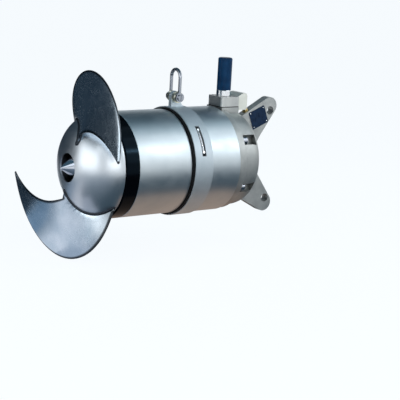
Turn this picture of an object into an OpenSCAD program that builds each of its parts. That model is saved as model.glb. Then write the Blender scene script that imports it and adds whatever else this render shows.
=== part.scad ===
// Compact submersible mixer with an open two-blade propeller.
// The shaft lies along X, the propeller is at the -X end and +Z is up.
// The origin is midway between the two holes of the fork bracket, on the shaft axis.
// Stations are distances along the shaft from the front rim of the motor housing.

/* [Motor housing] */
// Outer diameter of the motor housing
housing_d = 200; // [180:1:220]
// Length of the plain front part of the motor housing
housing_len = 115; // [106:1:144]
// Wall of the motor housing
housing_wall = 12; // [11:0.5:14]
// Step in radius from the housing to the spigot under the lifting ring
spigot_step = 4; // [3:0.5:6]
// Radial slip clearance between pieces that fit into each other
slip = 0.05; // [0.02:0.01:0.1]

/* [Front cover] */
// Length of the black front cover ring
front_len = 28; // [26:0.5:36]
// Thickness of the front wall of the cover
front_wall = 16; // [14:0.5:18]
// Length of the cover's spigot inside the housing
front_spigot = 9; // [7:0.5:12]
// Number of front cover screws
front_screws = 6; // [4:1:8]
// Thread diameter of the front cover screws
front_screw_d = 6; // [5:0.5:7]
// Length of the tapped hole in the housing rim
front_tap_len = 14; // [10:1:18]

/* [Lifting ring] */
// Thickness of the joint gasket
gasket_t = 5; // [4:0.1:6]
// How far the joint gasket stands proud of the housing
gasket_proud = 3; // [2:0.1:3.5]
// Length of the lifting ring
ring_len = 40; // [36:0.5:46]
// How far the lifting ring stands proud of the housing
ring_proud = 5; // [4:0.25:7]
// Width of the wire slot
slot_w = 9; // [8:0.25:10]
// Depth of the wire slot
slot_depth = 6; // [5.5:0.1:6.5]
// Start of the locking wire, in degrees from the top towards -Y
slot_from = 47; // [44:1:50]
// End of the locking wire, in degrees from the top towards -Y
slot_to = 72; // [68:1:76]
// Diameter of the locking wire
wire_d = 4; // [3.4:0.1:4.4]
// Height of the locking wire above the slot's floor
wire_lift = 1.4; // [0.8:0.1:1.6]
// Thickness of the lifting lug
lug_t = 9; // [7:0.5:10]
// Radius of the rounded top of the lug
lug_r = 11; // [10:0.5:12]
// Height of the shackle pin above the lifting ring
pin_height = 18.5; // [17:0.5:22]
// Distance of the shackle pin behind the ring's front face
lug_at = 17; // [16:0.5:18]
// Radius of the flare behind the lug
lug_flare = 10.5; // [8:0.5:11]

/* [Shackle] */
// Diameter of the shackle pin
pin_d = 9; // [8:0.5:10]
// Running clearance of the pin in the lug, on the radius
pin_run = 0.08; // [0.04:0.01:0.1]
// Diameter of the bow's rod
rod_d = 6.6; // [6:0.2:7.4]
// Clear width inside the bow
bow_gap = 22.2; // [20:0.2:25]
// Height of the bow's top above the pin axis
bow_h = 55.5; // [48:0.5:58]
// Radius of the bow's eyes
eye_r = 8.8; // [8:0.1:9.5]
// Radius of the pin head
head_r = 6.2; // [5.6:0.1:7]
// Thickness of the pin head
head_t = 2.6; // [2:0.1:4]
// Radius of the spacer washers beside the lug
washer_r = 10.8; // [10:0.1:12]
// Running clearance between the lug and each washer
lug_run = 0.3; // [0.2:0.05:0.5]
// Width across flats of the nut
nut_af = 13; // [12:0.5:14]
// Thickness of the nut
nut_t = 4; // [3.6:0.1:5]

/* [Rear housing and cover] */
// Length of the rear housing behind the lifting ring
rear_len = 67; // [61:1:80]
// How far the rear housing stands proud of the motor housing
rear_proud = 2; // [1:0.25:3]
// Wall of the rear housing's neck
neck_wall = 20; // [18:0.5:24]
// Length of the rear housing's neck
neck_len = 20; // [18:0.5:24]
// Thickness of the rear cover's flange
flange_t = 16; // [14:0.5:20]
// Step in radius from the flange to the cover's body
cover_step = 5; // [4:0.25:7]
// Length of the cover behind its flange
cover_len = 43; // [40:0.5:50]
// Length of the rounded shoulder of the cover
shoulder_len = 24; // [20:0.5:26]
// Step in radius from the cover's body to its flat rear face
face_step = 16; // [13:0.5:17]
// Thickness of the cover's closed rear wall
cover_wall = 12; // [10:0.5:14]
// Side wall of the cover
cover_side = 25; // [23:0.5:31]
// Thread diameter of the cover bolts
cover_bolt_d = 10; // [8:0.5:10]
// Distance of the bolt circle inside the housing's radius
bolt_inset = 10; // [9:0.25:11]
// Radius of the bolt pockets
pocket_r = 11; // [10:0.25:12]

/* [Fork bracket] */
// Thickness of the bracket plate
plate_t = 18; // [16:0.5:22]
// Diameter of the two bracket holes
hole_d = 17; // [13:0.5:18]
// Distance between the two bracket holes
hole_spacing = 180; // [170:1:190]
// Distance of the holes behind the cover's rear face
hole_reach = 80; // [74:0.5:90]
// Radius of the arm's end
arm_end_r = 18; // [17:0.25:20]
// How far the arm's end lies outside the hole
arm_end_out = 9; // [7:0.25:10]
// How far the arm's end lies in front of the hole
arm_end_fwd = 2; // [0:0.25:3]
// Slope of the arm's outer edge in degrees
arm_rise = 28.8; // [26:0.2:31]
// Slope of the arm's inner edge in degrees
arm_back = 54.5; // [52:0.25:57]
// Radius of the throat between the arms
throat_r = 70; // [62:1:74]
// Radius of the cast fillet where the bracket meets the cover
root_fillet = 6; // [3:0.5:8]
// Thread diameter of the earth screw
earth_d = 6; // [5:0.5:7]
// Distance of the earth screw behind the cover's rear face
earth_at = 24; // [20:0.5:27]

/* [Cable entry] */
// Station of the entry block's front face, behind the rear housing
entry_at = 5; // [4:0.25:7]
// Length of the entry block
entry_len = 41; // [40:0.5:44]
// Width of the entry block
entry_w = 48; // [46:0.5:54]
// Height of the entry block
entry_h = 18.5; // [17:0.5:22]
// Height of the cover's pad above the housing
pad_h = 2; // [1:0.25:4]
// Thickness of the entry gasket
entry_gasket_t = 1.5; // [1:0.1:2]
// Diameter of the cable
cable_d = 28; // [26:0.5:29]
// Diameter of the cable where it is stripped inside the gland
core_d = 21.8; // [20:0.1:22]
// Length of the cable tail above the gland
cable_len = 63; // [50:1:90]
// Diameter of the gland sleeve
sleeve_d = 28.8; // [28.2:0.2:31]
// Height of the gland sleeve above the block
sleeve_h = 12; // [9:0.5:16]
// Length of the gland sleeve inside the block
sleeve_in = 12; // [11:0.5:13]
// Length of the entry cap
cap_len = 24; // [20:0.5:26]
// Width of the entry cap
cap_w = 40; // [34:0.5:44]
// How far the entry cap rises above the block
cap_rise = 6.5; // [4:0.25:8]

/* [Propeller] */
// Diameter of the circle round the propeller blades
prop_d = 407; // [377:1:417]
// Step in radius from the housing to the hub's rear rim
hub_step = 2.6; // [1.5:0.1:4]
// Running gap between the hub and the front cover
hub_gap = 1.5; // [1.2:0.1:2.5]
// Length of the full dome of the hub
hub_dome = 66.6; // [64:0.2:72]
// Wall of the hub
hub_wall = 9; // [7:0.5:10]
// Radius of the nose recess
nose_r = 27; // [26:0.25:30]
// Depth of the nose recess
nose_depth = 17.5; // [15:0.5:18.5]
// Radius of the hub's boss
boss_r = 26; // [24:0.25:27]
// Radius of the nose cone
cone_r = 20; // [18:0.25:21]
// Length of the nose cone
cone_len = 31.5; // [30:0.5:36]
// Radius at which the blade plan starts
blade_root_r = 70; // [66:0.5:74]
// Angle of the front edge at the root
front_root_deg = -24; // [-27:0.5:-20]
// Angle of the rear edge at the root
rear_root_deg = 69; // [63:0.5:71]
// Angle of the swept tip
tip_deg = -78.5; // [-81:0.5:-71]
// How much the tip corner lies inside the propeller circle
tip_drop = 11.8; // [8:0.2:15]
// Pitch of the blade at the root
pitch_root = 253; // [235:1:273]
// Pitch of the blade at the tip
pitch_tip = 149.5; // [140:0.5:170]
// Station of the blade's reference line
blade_at = -68; // [-70:0.2:-66.4]
// How early the front edge sweeps back, lower is earlier
front_sweep = 0.82; // [0.75:0.01:0.9]
// How early the rear edge turns towards the tip, lower is earlier
rear_turn = 0.745; // [0.7:0.005:0.85]
// How far the rear edge bulges outwards
rear_bulge = 3.5; // [3:0.05:4]
// Forward rake of the blade
rake = 4.5; // [2:0.5:8]
// Curve of the rake towards the tip
rake_curve = 4.5; // [2:0.5:8]
// Blade thickness at the root
blade_t_root = 7.5; // [6:0.25:9]
// Blade thickness at the tip
blade_t_tip = 4; // [3:0.25:5]

/* [Shaft, motor and bearings] */
// Diameter of the shaft in the hub
hub_shaft_d = 30; // [28:0.5:32]
// Diameter of the shaft under the seals
seal_shaft_d = 34; // [33:0.25:34.5]
// Outer radius of the seal seats
seal_seat_r = 30; // [29:0.25:31]
// Length of each rotating seal ring
seal_len = 10; // [9:0.25:10.5]
// Gap between the two faces of a seal
seal_face = 0.05; // [0.02:0.01:0.1]
// Bore of the front bearing, radius
front_bore_r = 17.5; // [17.3:0.1:18]
// Outer radius of the front bearing
front_out_r = 40; // [39:0.25:41]
// Width of the front bearing
front_bearing_w = 21; // [20:0.25:22]
// Ball radius of the front bearing
front_ball_r = 6.5; // [6:0.1:7]
// Bore of the rear bearing, radius
rear_bore_r = 12.5; // [12:0.1:13]
// Outer radius of the rear bearing
rear_out_r = 31; // [30:0.25:32]
// Width of the rear bearing
rear_bearing_w = 17; // [16:0.25:18]
// Ball radius of the rear bearing
rear_ball_r = 4.8; // [4.4:0.1:5.2]
// Number of balls in each bearing
ball_count = 8; // [7:1:9]
// Clearance of the balls in their races
ball_run = 0.06; // [0.03:0.01:0.1]
// Length of the stator core
core_len = 70; // [62:1:74]
// Radial depth of the stator
stator_depth = 32; // [30:0.5:34]
// Air gap between rotor and stator
air_gap = 0.6; // [0.4:0.05:0.8]
// Radius of the shaft in the rotor
rotor_shaft_r = 22; // [21.5:0.25:24]
// Width of the drive key
key_w = 8; // [7:0.5:9]
// Height of the drive key
key_h = 7; // [6:0.5:8]
// Length of the drive key
key_len = 28; // [24:0.5:32]

/* [Hidden] */
$fn = 96;
housing_r = housing_d / 2;
bore_r = housing_r - housing_wall;
spigot_r = housing_r - spigot_step;
ring_r = housing_r + ring_proud;
rear_r = housing_r + rear_proud;
neck_r = housing_r - neck_wall;
bolt_circle = housing_r - bolt_inset;
cover_r = housing_r - cover_step;
face_r = cover_r - face_step;
cover_bore = cover_r - cover_side;
stator_bore = bore_r - stator_depth;
hub_r = housing_r - hub_step;
prop_r = prop_d / 2;
x_front = -front_len;
x_hub = x_front - hub_gap;
x_ring0 = housing_len + gasket_t;
x_ring1 = x_ring0 + ring_len;
x_joint = (x_ring0 + x_ring1) / 2;
x_rear1 = x_ring1 + rear_len;
x_flange1 = x_rear1 + flange_t;
x_face = x_flange1 + cover_len;
x_hole = x_face + hole_reach;
nose_t = acos(nose_r / hub_r);
x_lip = x_hub - hub_dome * sin(nose_t);
x_floor = x_lip + nose_depth;
x_boss = x_front + 1.7;
thread_r = 10;
x_thread = x_floor - 16;
front_screw_r = housing_r - housing_wall / 2 - 1;
seal_r = seal_shaft_d / 2;
x_seal0 = x_boss + 2.3;
x_seal1 = x_seal0 + seal_len;
seat_len = 8;
x_bearing = 33;
x_bearing1 = x_bearing + front_bearing_w;
x_inner1 = x_bearing - 15;
carrier_r = front_out_r + 12;
carrier_step = 6;
front_web = 14;
rear_web = 12;
x_core = x_bearing1 + 12;
x_core1 = x_core + core_len;
end_ring = 8;
x_rear_bearing = x_core1 + 24;
x_rear_bearing1 = x_rear_bearing + rear_bearing_w;
rear_carrier_r = rear_out_r + 11;
x_board = x_rear_bearing1 + 5;
board_t = 6;
stud_r = 2.5;
stud_len = 10;
stud_pitch = 8;
stud_z = 15;
lead_r = 2.1;
lead_bend = 14;
cable_z0 = cover_bore - 4;
clip_t = 1.4;
clip_deep = 1.2;
x_shaft1 = x_rear_bearing1 + clip_t + 2;
pin_z = ring_r + pin_height;
pin_r = pin_d / 2;
rod_r = rod_d / 2;
leg_x = bow_gap / 2 + rod_r;
x_lug = x_ring0 + lug_at;
lug_foot = spigot_r + 2.5;
washer_in = lug_t / 2 + lug_run;
eye_in = bow_gap / 2;
eye_out = bow_gap / 2 + rod_d;
wire_r = wire_d / 2;
wire_path_r = ring_r - slot_depth + wire_r + wire_lift;
x_entry0 = x_rear1 + entry_at;
x_entry1 = x_entry0 + entry_len;
x_cable = x_entry0 + entry_len / 2;
pad_z = housing_r + pad_h;
entry_z0 = pad_z + entry_gasket_t;
entry_z1 = entry_z0 + entry_h;
sleeve_thread_r = core_d / 2 + 2.2;
core_bore = core_d / 2 + 0.1;
edge = 0.6;
hole_z = hole_spacing / 2;
arm_c = [x_hole - arm_end_fwd, hole_z + arm_end_out];
arm_up = arm_c + arm_end_r * [-sin(arm_rise), cos(arm_rise)];
arm_low = arm_c + arm_end_r * [sin(arm_back), -cos(arm_back)];
arm_root_z = arm_up[1] - (arm_up[0] - x_face) * tan(arm_rise);
throat_c = arm_low[0] + (throat_r - arm_low[1] * cos(arm_back)) / sin(arm_back);
arm_n = 24;
arm_end = arc(arm_c, arm_end_r, arm_back - 90, 90 + arm_rise, arm_n);
cover_bolt_count = 5;

steel = [0.72, 0.74, 0.76];
bright = [0.82, 0.83, 0.85];
slate = [0.42, 0.45, 0.49];
cast = [0.60, 0.59, 0.56];
black = [0.03, 0.03, 0.035];
brass = [0.75, 0.62, 0.32];
copper = [0.62, 0.34, 0.2];
core_grey = [0.34, 0.35, 0.37];

// Turns local Z into the shaft axis, with station 0 at the housing's front rim
module along_x() { translate([-x_hole, 0, 0]) rotate([0, 90, 0]) children(); }
// Keeps the part's axes and measures X in stations
module at_station() { translate([-x_hole, 0, 0]) children(); }
// Turns local X outwards at an angle from the top towards -Y, inside along_x
module at_angle(a) { rotate([0, 0, 180 + a]) children(); }
// Revolved profile of [radius, station] points
module turned(p) { along_x() rotate_extrude() polygon(p); }
// Plain ring between two radii and two stations
module ring(r0, r1, x0, x1) { along_x() rotate_extrude() translate([r0, x0]) square([r1 - r0, x1 - x0]); }
// Points on an arc about a centre, from one angle to another
function arc(c, r, a0, a1, n) = [for (i = [0:n]) let (a = a0 + (a1 - a0) * i / n)
    c + r * [cos(a), sin(a)]];
// Socket head screw along local Z with its head below z = 0 and its shank above
module socket_screw(d, len, head_r, head_h) {
    socket_r = d * 0.46;
    socket_h = head_h * 0.55;
    difference() {
        union() {
            cylinder(r = d / 2, h = len);
            translate([0, 0, -head_h]) cylinder(r = head_r, h = head_h);
        }
        translate([0, 0, -head_h - 1]) cylinder(r = socket_r, h = socket_h + 1, $fn = 6);
    }
}

// Dome of the hub from the rear rim to the nose lip, as [radius, station]
dome_n = 26;
function dome(r, a, t_end, n) = [for (i = [0:n]) [r * cos(t_end * i / n), x_hub - a * sin(t_end * i / n)]];

module propeller_hub() {
    n = 12;
    in_r = hub_r - hub_wall;
    in_a = hub_dome - nose_depth - hub_wall;
    root = 3;
    in_t = acos((boss_r + root) / in_r);
    inner = dome(in_r, in_a, in_t, n);
    floor_r = nose_r - 3;
    hub_bore = hub_shaft_d / 2 + slip;
    color(bright) difference() {
        turned(concat(dome(hub_r, hub_dome, nose_t, dome_n),
            [[floor_r, x_floor], [hub_bore, x_floor], [hub_bore, x_boss], [boss_r, x_boss],
             [boss_r, inner[n][1] + root]],
            [for (i = [n:-1:0]) inner[i]]));
        key_box(slip);
    }
}
module nose_cone() {
    skirt = 7;
    tip = x_floor - cone_len;
    color(bright) turned([[thread_r + slip, x_floor], [cone_r, x_floor], [cone_r, x_floor - skirt],
        [cone_r - 1, x_floor - skirt - 1], [2.2, tip + 0.8], [1.2, tip], [0, tip], [0, x_thread - 0.5],
        [thread_r + slip, x_thread - 0.5]]);
}
// Key in the shaft and hub, grown by a clearance for its seats
module key_box(grow) {
    z0 = hub_shaft_d / 2 - key_h * 0.57;
    at_station() translate([(x_floor + x_hub) / 2 - key_len / 2 - grow, -key_w / 2 - grow, z0 - grow])
        cube([key_len + 2 * grow, key_w + 2 * grow, key_h + 2 * grow]);
}
module drive_key() { color(core_grey) key_box(0); }

// Blade: rows run from the root to the tip, columns from the front edge to the rear edge.
// Angles are measured from +Z towards +Y; the blade moves back with the angle.
blade_rows = 18;
blade_cols = 10;
tip_stop = 0.985;
// The share of the way to the tip, held at zero inside the hub
function outer(u) = max(u, 0);
function edge_front(u) = [front_root_deg + (tip_deg - front_root_deg) * pow(outer(u), front_sweep),
    blade_root_r + (prop_r - tip_drop - blade_root_r) * u];
function edge_rear(u) = [rear_root_deg + (tip_deg - rear_root_deg) * pow(outer(u), rear_turn),
    blade_root_r + (prop_r - blade_root_r) * (u < 0 ? u : 1 - pow(1 - min(u, 1), rear_bulge))
        - tip_drop * pow(max(0, (u - 0.72) / 0.28), 2)];
function blade_x(a, r) = let (s = (r - blade_root_r) / (prop_r - blade_root_r))
    blade_at + (pitch_root + (pitch_tip - pitch_root) * s) / 360 * a + rake * s - rake_curve * s * s;
function blade_pitch(r) = let (s = (r - blade_root_r) / (prop_r - blade_root_r))
    (pitch_root + (pitch_tip - pitch_root) * s) / (2 * PI);
function blade_half(u, v) = (blade_t_root + (blade_t_tip - blade_t_root) * outer(u)) / 2
    * (0.35 + 0.65 * pow(sin(180 * v), 0.6));
function blade_point(u, v, side) = let (
    f = edge_front(u), b = edge_rear(u),
    a = f[0] + (b[0] - f[0]) * v, r = f[1] + (b[1] - f[1]) * v,
    p = blade_pitch(r), n = sqrt(p * p + r * r), h = side * blade_half(u, v))
    [blade_x(a, r) + h * r / n, r * sin(a) - h * p / n * cos(a), r * cos(a) + h * p / n * sin(a)];
// The first row lies inside the hub, and the others crowd together towards the tip
inside_hub = -0.22;
tip_crowd = 1.4;
blade_us = [for (i = [0:blade_rows]) i == 0 ? inside_hub
    : tip_stop * (1 - pow(1 - (i - 1) / (blade_rows - 1), tip_crowd))];
module blade_solid() {
    m = 2 * (blade_cols + 1);
    pts = [for (u = blade_us) each concat(
        [for (j = [0:blade_cols]) blade_point(u, j / blade_cols, 1)],
        [for (j = [blade_cols:-1:0]) blade_point(u, j / blade_cols, -1)])];
    sides = [for (i = [0:blade_rows - 1], j = [0:m - 1]) let (k = (j + 1) % m)
        each [[i * m + j, (i + 1) * m + j, (i + 1) * m + k], [i * m + j, (i + 1) * m + k, i * m + k]]];
    last = blade_rows * m;
    caps = [for (j = [0:blade_cols - 1]) each [
        [j, j + 1, m - 2 - j], [j, m - 2 - j, m - 1 - j],
        [last + j, last + m - 2 - j, last + j + 1], [last + j, last + m - 1 - j, last + m - 2 - j]]];
    at_station() polyhedron(points = pts, faces = concat(sides, caps), convexity = 6);
}
module blade_cut() {
    grow = 0.02;
    turned(concat([[0, 0], [hub_r + grow, 0]],
        [for (p = dome(hub_r, hub_dome, nose_t, dome_n)) [p[0] + grow, p[1]]], [[0, x_lip - 1]]));
}
module blade_a() { color(slate) difference() { blade_solid(); blade_cut(); } }
module blade_b() { color(slate) difference() { rotate([180, 0, 0]) blade_solid(); blade_cut(); } }

module shaft() {
    color(steel) difference() {
        turned([[0, x_thread], [thread_r - 1, x_thread], [thread_r, x_thread + 1], [thread_r, x_floor + 2],
            [hub_shaft_d / 2, x_floor + 2], [hub_shaft_d / 2, x_boss + 0.1], [seal_r, x_boss + 0.1],
            [seal_r, x_bearing - 1], [front_bore_r, x_bearing - 1], [front_bore_r, x_bearing1],
            [front_bore_r + 3.5, x_bearing1], [front_bore_r + 3.5, x_core - end_ring + 4],
            [rotor_shaft_r, x_core - end_ring + 4], [rotor_shaft_r, x_core1 + end_ring - 4],
            [rear_bore_r + 3.5, x_core1 + end_ring - 4], [rear_bore_r + 3.5, x_rear_bearing],
            [rear_bore_r, x_rear_bearing], [rear_bore_r, x_shaft1], [0, x_shaft1]]);
        ring(rear_bore_r - clip_deep - slip, rear_bore_r + 1,
            x_rear_bearing1, x_rear_bearing1 + clip_t + 2 * slip);
        key_box(slip);
    }
}
module shaft_clip() {
    x0 = x_rear_bearing1 + slip;
    color(core_grey) ring(rear_bore_r - clip_deep, rear_bore_r + 3, x0, x0 + clip_t);
}
rotor_r = stator_bore - air_gap;
module rotor_core() { color(core_grey) ring(rotor_shaft_r + slip, rotor_r, x_core, x_core1); }
module rotor_rings() {
    color(steel) {
        ring(rotor_r - 18, rotor_r - 3, x_core - end_ring, x_core);
        ring(rotor_r - 18, rotor_r - 3, x_core1, x_core1 + end_ring);
    }
}

// Ball bearing pieces between two radii, from station x0
function pitch_r(r0, r1) = (r0 + r1) / 2;
module race(r0, r1, w, ball_r, x0, inner) {
    p = pitch_r(r0, r1);
    lip = ball_r * 0.4;
    difference() {
        if (inner) ring(r0 + slip, p - lip, x0, x0 + w);
        else ring(p + lip, r1, x0, x0 + w);
        along_x() rotate_extrude() translate([p, x0 + w / 2]) circle(ball_r + ball_run);
    }
}
module ball_set(r0, r1, w, ball_r, x0) {
    p = pitch_r(r0, r1);
    web = ball_r * 0.19;
    ring(p - web, p + web, x0 + w / 2 - ball_r * 0.75, x0 + w / 2 + ball_r * 0.75);
    along_x() for (i = [0:ball_count - 1]) rotate([0, 0, i * 360 / ball_count])
        translate([p, 0, x0 + w / 2]) sphere(r = ball_r);
}
module front_bearing_inner() {
    color(steel) race(front_bore_r, front_out_r, front_bearing_w, front_ball_r, x_bearing, true);
}
module front_bearing_outer() {
    color(steel) race(front_bore_r, front_out_r, front_bearing_w, front_ball_r, x_bearing, false);
}
module front_ball_set() {
    color(bright) ball_set(front_bore_r, front_out_r, front_bearing_w, front_ball_r, x_bearing);
}
module rear_bearing_inner() {
    color(steel) race(rear_bore_r, rear_out_r, rear_bearing_w, rear_ball_r, x_rear_bearing, true);
}
module rear_bearing_outer() {
    color(steel) race(rear_bore_r, rear_out_r, rear_bearing_w, rear_ball_r, x_rear_bearing, false);
}
module rear_ball_set() {
    color(bright) ball_set(rear_bore_r, rear_out_r, rear_bearing_w, rear_ball_r, x_rear_bearing);
}

// Shaft seals: each turning ring runs against a fixed seat that begins at station x1
seat_bore = seal_r + 1.5;
module seal_ring(x1) { ring(seal_r + slip, seal_seat_r - 3, x1 - seal_len, x1); }
module seal_seat(x1) { ring(seat_bore, seal_seat_r, x1 + seal_face, x1 + seat_len); }
module outer_seal_ring() { color(core_grey) seal_ring(x_seal1); }
module outer_seal_seat() { color(copper) seal_seat(x_seal1); }
module inner_seal_ring() { color(core_grey) seal_ring(x_inner1); }
module inner_seal_seat() { color(copper) seal_seat(x_inner1); }

// O-ring groove and O-ring on a spigot of radius r, from station x0
o_w = 3.2;
o_deep = 3;
module o_groove(r, x0) { ring(r - o_deep, r + 1, x0, x0 + o_w); }
module o_ring(r, x0) {
    along_x() rotate_extrude() translate([r - o_deep / 2, x0 + o_w / 2]) circle(o_deep / 2 - 0.04);
}

x_front_o = 3;
front_head_r = front_screw_d * 0.85;
// The front screws' axes, with local Z along the shaft from station 0
module front_screw_at() {
    along_x() for (i = [0:front_screws - 1]) at_angle((i + 0.5) * 360 / front_screws)
        translate([front_screw_r, 0, 0]) children();
}
module front_cover() {
    r = bore_r - slip;
    in_r = r - 10;
    bore = seal_seat_r + slip;
    collar_r = seal_seat_r + 12;
    lip_r = seal_r + 3;
    lip_x = x_seal1 + seat_len;
    lip_x1 = lip_x + 4;
    wall_x = x_front + front_wall;
    c = 1.2;
    play = 0.3;
    color(black) difference() {
        turned([[bore, x_front], [housing_r - c, x_front], [housing_r, x_front + c], [housing_r, -edge],
            [housing_r - edge, 0], [r, 0], [r, front_spigot], [in_r, front_spigot], [in_r, wall_x],
            [collar_r, wall_x], [collar_r, lip_x1], [lip_r, lip_x1], [lip_r, lip_x], [bore, lip_x]]);
        o_groove(r, x_front_o);
        front_screw_at() translate([0, 0, x_front - 1]) {
            cylinder(r = front_screw_d / 2 + play, h = front_len + 2);
            cylinder(r = front_head_r + play, h = front_screw_d + 2);
        }
    }
}
module front_cover_screws() {
    x0 = x_front + front_screw_d + 1;
    color(steel) front_screw_at() translate([0, 0, x0])
        socket_screw(front_screw_d, front_tap_len - 1 - x0, front_head_r, front_screw_d);
}
module front_o_ring() { color(black) o_ring(bore_r - slip, x_front_o); }

module motor_housing() {
    color(steel) difference() {
        turned([[bore_r, 0], [housing_r - edge, 0], [housing_r, edge], [housing_r, housing_len - edge],
            [housing_r - edge, housing_len], [spigot_r, housing_len], [spigot_r, x_joint], [bore_r, x_joint]]);
        front_screw_at() translate([0, 0, -1]) cylinder(r = front_screw_d / 2 + slip, h = front_tap_len + 1);
    }
}
module bearing_carrier() {
    r = bore_r - slip;
    seat = seal_seat_r + slip;
    lip_x = x_inner1 + seat_len;
    out = front_out_r + slip;
    web0 = x_inner1 + carrier_step;
    web1 = web0 + front_web;
    color(cast) turned([[seat, x_inner1], [carrier_r, x_inner1], [carrier_r, web0], [r, web0],
        [r, web1], [carrier_r, web1], [carrier_r, x_bearing1 + 2], [out, x_bearing1 + 2],
        [out, x_bearing], [out - 6, x_bearing], [out - 6, x_bearing - 2], [seal_r + 3, x_bearing - 2],
        [seal_r + 3, lip_x], [seat, lip_x]]);
}
module stator_core() { color(core_grey) ring(stator_bore, bore_r - slip, x_core, x_core1); }
module stator_winding() {
    r0 = stator_bore + 4;
    r1 = bore_r - 8;
    w = 13;
    c = 4;
    color(copper) {
        turned([[r0, x_core], [r1, x_core], [r1, x_core - w + c], [r1 - c, x_core - w],
            [r0 + c, x_core - w], [r0, x_core - w + c]]);
        turned([[r0, x_core1], [r0, x_core1 + w - c], [r0 + c, x_core1 + w],
            [r1 - c, x_core1 + w], [r1, x_core1 + w - c], [r1, x_core1]]);
    }
}
module joint_gasket() { color(black) ring(spigot_r + slip, housing_r + gasket_proud, housing_len, x_ring0); }

// Radial pit of radius r from the ring's surface down, for the end of the wire
module slot_pit(a, r, deep) {
    along_x() at_angle(a) translate([ring_r - deep, 0, x_joint]) rotate([0, 90, 0])
        cylinder(r = r, h = deep + 2);
}
wire_pit = slot_depth + 1.5;
slot_end = 4.2;
wire_peg_r = wire_r + 0.4;
// Outline of the lug as [station, height]: upright in front, round on top and flared into the ring behind
function lug_outline() = let (heel = x_lug + lug_r + lug_flare) concat(
    [[x_lug - lug_r, lug_foot]], arc([x_lug, pin_z], lug_r, 180, 0, 24),
    arc([heel, ring_r + lug_flare], lug_flare, 180, 250, 8), [[heel, ring_r - 0.6], [heel, lug_foot]]);
module lifting_ring() {
    c = 0.8;
    in_r = spigot_r + slip;
    color([0.78, 0.79, 0.8]) difference() {
        union() {
            turned([[in_r, x_ring0], [ring_r - c, x_ring0], [ring_r, x_ring0 + c],
                [ring_r, x_ring1 - c], [ring_r - c, x_ring1], [in_r, x_ring1]]);
            at_station() translate([0, lug_t / 2, 0]) rotate([90, 0, 0])
                linear_extrude(lug_t) polygon(lug_outline());
        }
        at_pin() translate([-lug_t, 0, 0]) rotate([0, 90, 0]) cylinder(r = pin_r + pin_run, h = 2 * lug_t);
        along_x() at_angle(slot_from - slot_end) rotate_extrude(angle = slot_to - slot_from + 2 * slot_end)
            translate([ring_r - slot_depth, x_joint - slot_w / 2]) square([slot_depth + 2, slot_w]);
        for (a = [slot_from, slot_to]) slot_pit(a, wire_peg_r + 0.2, wire_pit);
    }
}
module locking_wire() {
    color(bright) {
        along_x() at_angle(slot_from) rotate_extrude(angle = slot_to - slot_from)
            translate([wire_path_r, x_joint]) circle(wire_r);
        along_x() for (a = [slot_from, slot_to]) at_angle(a)
            translate([ring_r - wire_pit + 0.2, 0, x_joint]) rotate([0, 90, 0])
                cylinder(r = wire_peg_r, h = wire_path_r + wire_r - ring_r + wire_pit);
    }
}
module rear_housing() {
    x_neck = x_rear1 - neck_len;
    neck_slope = neck_wall - housing_wall;
    color(steel) difference() {
        turned([[bore_r, x_joint], [spigot_r, x_joint], [spigot_r, x_ring1], [rear_r - edge, x_ring1],
            [rear_r, x_ring1 + edge], [rear_r, x_rear1 - 1], [rear_r - 1, x_rear1], [neck_r, x_rear1],
            [neck_r, x_neck], [bore_r, x_neck - neck_slope]]);
        cover_bolt_holes(cover_bolt_d / 2 + slip, x_neck + 3, x_rear1 + 1);
    }
}
module cover_bolt_at() {
    along_x() for (i = [1:cover_bolt_count]) at_angle(i * 360 / (cover_bolt_count + 1))
        translate([bolt_circle, 0, 0]) children();
}
module cover_bolt_holes(r, x0, x1) { cover_bolt_at() translate([0, 0, x0]) cylinder(r = r, h = x1 - x0); }
module rear_bearing_carrier() {
    r = bore_r - slip;
    out = rear_out_r + slip;
    x0 = x_rear_bearing - 2;
    x1 = x_rear_bearing1 + 5;
    web0 = x0 + carrier_step;
    web1 = web0 + rear_web;
    lip_r = out - 5;
    color(cast) turned([[out, x0], [rear_carrier_r, x0], [rear_carrier_r, web0], [r, web0], [r, web1],
        [rear_carrier_r, web1], [rear_carrier_r, x1], [lip_r, x1], [lip_r, x_rear_bearing1],
        [out, x_rear_bearing1]]);
}
module terminal_board() { color([0.75, 0.7, 0.6]) ring(0, rear_carrier_r - 4, x_board, x_board + board_t); }
// The three studs' axes, with local Z along the shaft from the board's rear face
module stud_at() {
    at_station() for (i = [-1:1]) translate([x_board + board_t, i * stud_pitch, stud_z])
        rotate([0, 90, 0]) children();
}
module terminal_studs() {
    color(brass) stud_at() {
        cylinder(r = stud_r, h = stud_len);
        cylinder(r = stud_r * 1.45, h = stud_r, $fn = 6);
    }
}
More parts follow.
